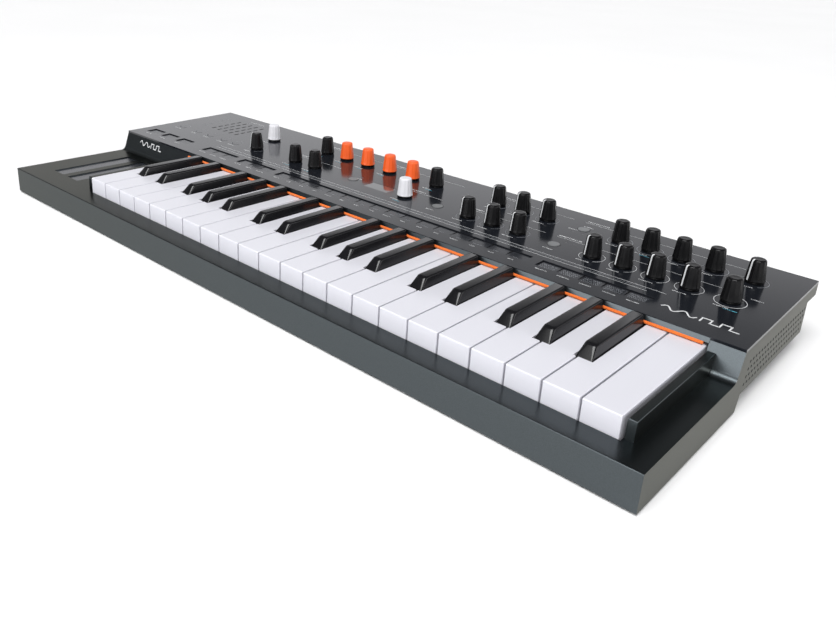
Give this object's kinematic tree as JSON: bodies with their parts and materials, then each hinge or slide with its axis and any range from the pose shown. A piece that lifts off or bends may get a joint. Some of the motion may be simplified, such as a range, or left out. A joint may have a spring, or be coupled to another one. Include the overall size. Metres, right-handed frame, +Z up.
{
  "type": "synthesizer",
  "caption": "Desktop keyboard synthesizer with a slim-key row on a low front deck, two touch strips, and a raised control panel of turning knobs, touch plates and a small display.",
  "frame": {"origin": "middle of the case's width and depth, on the surface the feet stand on", "axes": "+X to the player's right along the key row, +Y from the player to the rear sockets, +Z up"},
  "size_m": [0.578, 0.231, 0.0559],
  "materials": {
    "case_paint": "satin dark slate paint with fine metallic grain",
    "panel_paint": "semi-gloss dark slate panel with printed legends",
    "sheet_steel": "fine-textured black powder coat",
    "bed_steel": "zinc plated sheet",
    "screw_steel": "black zinc",
    "white_key": "satin-gloss white",
    "black_key": "satin black",
    "orange_felt": "dense orange felt",
    "socket_plastic": "black moulded",
    "board": "circuit board lacquer",
    "control_metal": "stamped metal",
    "touch_copper": "lacquered touch plates",
    "screen_glass": "dark gloss window",
    "light_guide": "frosted light guide",
    "button_plastic": "satin grey",
    "rubber": "matt black",
    "orange_knob": "satin orange",
    "white_knob": "satin white",
    "black_knob": "satin black soft-touch"
  },
  "bodies": {
    "chassis": {"case_shell": "case_paint", "control_panel": "panel_paint", "base_plate": "sheet_steel", "connector_plate": "sheet_steel", "jack_sockets": "socket_plastic", "digital_sockets": "socket_plastic", "key_end_blocks": "case_paint", "key_felt_strip": "orange_felt", "keybed_frame": "bed_steel", "key_pivot_rod": "bed_steel", "key_contact_board": "board", "contact_domes": "rubber", "touch_plates": "touch_copper", "display_screen": "screen_glass", "indicator_lights": "light_guide", "main_board": "board", "control_bodies": "control_metal", "rubber_feet": "rubber", "case_screws": "screw_steel"},
    "note_c": {"keys_c": "white_key"},
    "note_c_sharp": {"keys_c_sharp": "black_key"},
    "note_d": {"keys_d": "white_key"},
    "note_d_sharp": {"keys_d_sharp": "black_key"},
    "note_e": {"keys_e": "white_key"},
    "note_f": {"keys_f": "white_key"},
    "note_f_sharp": {"keys_f_sharp": "black_key"},
    "note_g": {"keys_g": "white_key"},
    "note_g_sharp": {"keys_g_sharp": "black_key"},
    "note_a": {"keys_a": "white_key"},
    "note_a_sharp": {"keys_a_sharp": "black_key"},
    "note_b": {"keys_b": "white_key"},
    "preset_control": {"preset_knob": "white_knob"},
    "master_volume_control": {"master_volume_knob": "black_knob"},
    "osc_one_type_control": {"osc_one_type_knob": "black_knob"},
    "osc_one_tune_control": {"osc_one_tune_knob": "black_knob"},
    "osc_two_type_control": {"osc_two_type_knob": "black_knob"},
    "osc_one_wave_control": {"osc_one_wave_knob": "orange_knob"},
    "osc_one_timbre_control": {"osc_one_timbre_knob": "orange_knob"},
    "osc_two_wave_control": {"osc_two_wave_knob": "orange_knob"},
    "osc_two_timbre_control": {"osc_two_timbre_knob": "orange_knob"},
    "osc_mix_control": {"osc_mix_knob": "white_knob"},
    "osc_volume_control": {"osc_volume_knob": "black_knob"},
    "cutoff_control": {"cutoff_knob": "black_knob"},
    "resonance_control": {"resonance_knob": "black_knob"},
    "filter_envelope_control": {"filter_envelope_knob": "black_knob"},
    "effect_time_control": {"effect_time_knob": "black_knob"},
    "effect_intensity_control": {"effect_intensity_knob": "black_knob"},
    "effect_amount_control": {"effect_amount_knob": "black_knob"},
    "attack_control": {"attack_knob": "black_knob"},
    "decay_control": {"decay_knob": "black_knob"},
    "sustain_control": {"sustain_knob": "black_knob"},
    "release_control": {"release_knob": "black_knob"},
    "lfo_rate_control": {"lfo_rate_knob": "black_knob"},
    "lfo_shape_control": {"lfo_shape_knob": "black_knob"},
    "cycling_rise_control": {"cycling_rise_knob": "black_knob"},
    "cycling_fall_control": {"cycling_fall_knob": "black_knob"},
    "glide_control": {"glide_knob": "black_knob"},
    "tempo_control": {"tempo_knob": "black_knob"},
    "buttons": {"push_buttons": "button_plastic"},
    "power_button": {"power_switch": "button_plastic"}
  },
  "joints": [
    {"name": "keys_c_press", "type": "hinge", "parent": "chassis", "child": "note_c", "pos_m": [0, 0.0305, 0.0255], "axis": [1, 0, 0], "range_deg": [0, 3.3], "stiffness_Nm_per_rad": 2.4, "springref_deg": -3.44},
    {"name": "keys_c_sharp_press", "type": "hinge", "parent": "chassis", "child": "note_c_sharp", "pos_m": [0, 0.0305, 0.0255], "axis": [1, 0, 0], "range_deg": [0, 3.3], "stiffness_Nm_per_rad": 1.8, "springref_deg": -3.44},
    {"name": "keys_d_press", "type": "hinge", "parent": "chassis", "child": "note_d", "pos_m": [0, 0.0305, 0.0255], "axis": [1, 0, 0], "range_deg": [0, 3.3], "stiffness_Nm_per_rad": 1.8, "springref_deg": -3.44},
    {"name": "keys_d_sharp_press", "type": "hinge", "parent": "chassis", "child": "note_d_sharp", "pos_m": [0, 0.0305, 0.0255], "axis": [1, 0, 0], "range_deg": [0, 3.3], "stiffness_Nm_per_rad": 1.8, "springref_deg": -3.44},
    {"name": "keys_e_press", "type": "hinge", "parent": "chassis", "child": "note_e", "pos_m": [0, 0.0305, 0.0255], "axis": [1, 0, 0], "range_deg": [0, 3.3], "stiffness_Nm_per_rad": 1.8, "springref_deg": -3.44},
    {"name": "keys_f_press", "type": "hinge", "parent": "chassis", "child": "note_f", "pos_m": [0, 0.0305, 0.0255], "axis": [1, 0, 0], "range_deg": [0, 3.3], "stiffness_Nm_per_rad": 1.8, "springref_deg": -3.44},
    {"name": "keys_f_sharp_press", "type": "hinge", "parent": "chassis", "child": "note_f_sharp", "pos_m": [0, 0.0305, 0.0255], "axis": [1, 0, 0], "range_deg": [0, 3.3], "stiffness_Nm_per_rad": 1.8, "springref_deg": -3.44},
    {"name": "keys_g_press", "type": "hinge", "parent": "chassis", "child": "note_g", "pos_m": [0, 0.0305, 0.0255], "axis": [1, 0, 0], "range_deg": [0, 3.3], "stiffness_Nm_per_rad": 1.8, "springref_deg": -3.44},
    {"name": "keys_g_sharp_press", "type": "hinge", "parent": "chassis", "child": "note_g_sharp", "pos_m": [0, 0.0305, 0.0255], "axis": [1, 0, 0], "range_deg": [0, 3.3], "stiffness_Nm_per_rad": 1.8, "springref_deg": -3.44},
    {"name": "keys_a_press", "type": "hinge", "parent": "chassis", "child": "note_a", "pos_m": [0, 0.0305, 0.0255], "axis": [1, 0, 0], "range_deg": [0, 3.3], "stiffness_Nm_per_rad": 1.8, "springref_deg": -3.44},
    {"name": "keys_a_sharp_press", "type": "hinge", "parent": "chassis", "child": "note_a_sharp", "pos_m": [0, 0.0305, 0.0255], "axis": [1, 0, 0], "range_deg": [0, 3.3], "stiffness_Nm_per_rad": 1.8, "springref_deg": -3.44},
    {"name": "keys_b_press", "type": "hinge", "parent": "chassis", "child": "note_b", "pos_m": [0, 0.0305, 0.0255], "axis": [1, 0, 0], "range_deg": [0, 3.3], "stiffness_Nm_per_rad": 1.8, "springref_deg": -3.44},
    {"name": "preset_turn", "type": "hinge", "parent": "chassis", "child": "preset_control", "pos_m": [-0.1723, 0.0769, 0.04051], "axis": [0, 0.0147, -0.9999], "continuous": true},
    {"name": "master_volume_turn", "type": "hinge", "parent": "chassis", "child": "master_volume_control", "pos_m": [-0.1594, 0.0455, 0.04005], "axis": [0, 0.0147, -0.9999], "range_deg": [0, 300]},
    {"name": "osc_one_type_turn", "type": "hinge", "parent": "chassis", "child": "osc_one_type_control", "pos_m": [-0.1076, 0.0455, 0.04005], "axis": [0, 0.0147, -0.9999], "continuous": true},
    {"name": "osc_one_tune_turn", "type": "hinge", "parent": "chassis", "child": "osc_one_tune_control", "pos_m": [-0.0833, 0.0455, 0.04005], "axis": [0, 0.0147, -0.9999], "continuous": true},
    {"name": "osc_two_type_turn", "type": "hinge", "parent": "chassis", "child": "osc_two_type_control", "pos_m": [-0.1076, 0.0838, 0.04061], "axis": [0, 0.0147, -0.9999], "continuous": true},
    {"name": "osc_one_wave_turn", "type": "hinge", "parent": "chassis", "child": "osc_one_wave_control", "pos_m": [-0.0833, 0.0838, 0.04061], "axis": [0, 0.0147, -0.9999], "continuous": true},
    {"name": "osc_one_timbre_turn", "type": "hinge", "parent": "chassis", "child": "osc_one_timbre_control", "pos_m": [-0.0583, 0.0838, 0.04061], "axis": [0, 0.0147, -0.9999], "continuous": true},
    {"name": "osc_two_wave_turn", "type": "hinge", "parent": "chassis", "child": "osc_two_wave_control", "pos_m": [-0.0333, 0.0838, 0.04061], "axis": [0, 0.0147, -0.9999], "continuous": true},
    {"name": "osc_two_timbre_turn", "type": "hinge", "parent": "chassis", "child": "osc_two_timbre_control", "pos_m": [-0.0084, 0.0838, 0.04061], "axis": [0, 0.0147, -0.9999], "continuous": true},
    {"name": "osc_mix_turn", "type": "hinge", "parent": "chassis", "child": "osc_mix_control", "pos_m": [0.0166, 0.0455, 0.04005], "axis": [0, 0.0147, -0.9999], "continuous": true},
    {"name": "osc_volume_turn", "type": "hinge", "parent": "chassis", "child": "osc_volume_control", "pos_m": [0.0166, 0.0838, 0.04061], "axis": [0, 0.0147, -0.9999], "continuous": true},
    {"name": "cutoff_turn", "type": "hinge", "parent": "chassis", "child": "cutoff_control", "pos_m": [0.0759, 0.0455, 0.04005], "axis": [0, 0.0147, -0.9999], "range_deg": [0, 300]},
    {"name": "resonance_turn", "type": "hinge", "parent": "chassis", "child": "resonance_control", "pos_m": [0.0971, 0.0455, 0.04005], "axis": [0, 0.0147, -0.9999], "range_deg": [0, 300]},
    {"name": "filter_envelope_turn", "type": "hinge", "parent": "chassis", "child": "filter_envelope_control", "pos_m": [0.1183, 0.0455, 0.04005], "axis": [0, 0.0147, -0.9999], "range_deg": [0, 300]},
    {"name": "effect_time_turn", "type": "hinge", "parent": "chassis", "child": "effect_time_control", "pos_m": [0.0759, 0.0838, 0.04061], "axis": [0, 0.0147, -0.9999], "range_deg": [0, 300]},
    {"name": "effect_intensity_turn", "type": "hinge", "parent": "chassis", "child": "effect_intensity_control", "pos_m": [0.0971, 0.0838, 0.04061], "axis": [0, 0.0147, -0.9999], "range_deg": [0, 300]},
    {"name": "effect_amount_turn", "type": "hinge", "parent": "chassis", "child": "effect_amount_control", "pos_m": [0.1183, 0.0838, 0.04061], "axis": [0, 0.0147, -0.9999], "range_deg": [0, 300]},
    {"name": "attack_turn", "type": "hinge", "parent": "chassis", "child": "attack_control", "pos_m": [0.1744, 0.0455, 0.04005], "axis": [0, 0.0147, -0.9999], "range_deg": [0, 300]},
    {"name": "decay_turn", "type": "hinge", "parent": "chassis", "child": "decay_control", "pos_m": [0.1956, 0.0455, 0.04005], "axis": [0, 0.0147, -0.9999], "range_deg": [0, 300]},
    {"name": "sustain_turn", "type": "hinge", "parent": "chassis", "child": "sustain_control", "pos_m": [0.2166, 0.0455, 0.04005], "axis": [0, 0.0147, -0.9999], "range_deg": [0, 300]},
    {"name": "release_turn", "type": "hinge", "parent": "chassis", "child": "release_control", "pos_m": [0.2377, 0.0455, 0.04005], "axis": [0, 0.0147, -0.9999], "range_deg": [0, 300]},
    {"name": "lfo_rate_turn", "type": "hinge", "parent": "chassis", "child": "lfo_rate_control", "pos_m": [0.1744, 0.0838, 0.04061], "axis": [0, 0.0147, -0.9999], "continuous": true},
    {"name": "lfo_shape_turn", "type": "hinge", "parent": "chassis", "child": "lfo_shape_control", "pos_m": [0.1956, 0.0838, 0.04061], "axis": [0, 0.0147, -0.9999], "continuous": true},
    {"name": "cycling_rise_turn", "type": "hinge", "parent": "chassis", "child": "cycling_rise_control", "pos_m": [0.2166, 0.0838, 0.04061], "axis": [0, 0.0147, -0.9999], "continuous": true},
    {"name": "cycling_fall_turn", "type": "hinge", "parent": "chassis", "child": "cycling_fall_control", "pos_m": [0.2377, 0.0838, 0.04061], "axis": [0, 0.0147, -0.9999], "continuous": true},
    {"name": "glide_turn", "type": "hinge", "parent": "chassis", "child": "glide_control", "pos_m": [0.2616, 0.0838, 0.04061], "axis": [0, 0.0147, -0.9999], "range_deg": [0, 300]},
    {"name": "tempo_turn", "type": "hinge", "parent": "chassis", "child": "tempo_control", "pos_m": [0.2616, 0.0455, 0.04005], "axis": [0, 0.0147, -0.9999], "continuous": true},
    {"name": "buttons_press", "type": "slide", "parent": "chassis", "child": "buttons", "axis": [0, 0.0147, -0.9999], "range_m": [0, 0.0008], "stiffness_N_per_m": 800, "springref_m": -0.001},
    {"name": "power_press", "type": "slide", "parent": "chassis", "child": "power_button", "axis": [0, -1, 0], "range_m": [0, 0.002], "stiffness_N_per_m": 600, "springref_m": -0.001}
  ]
}
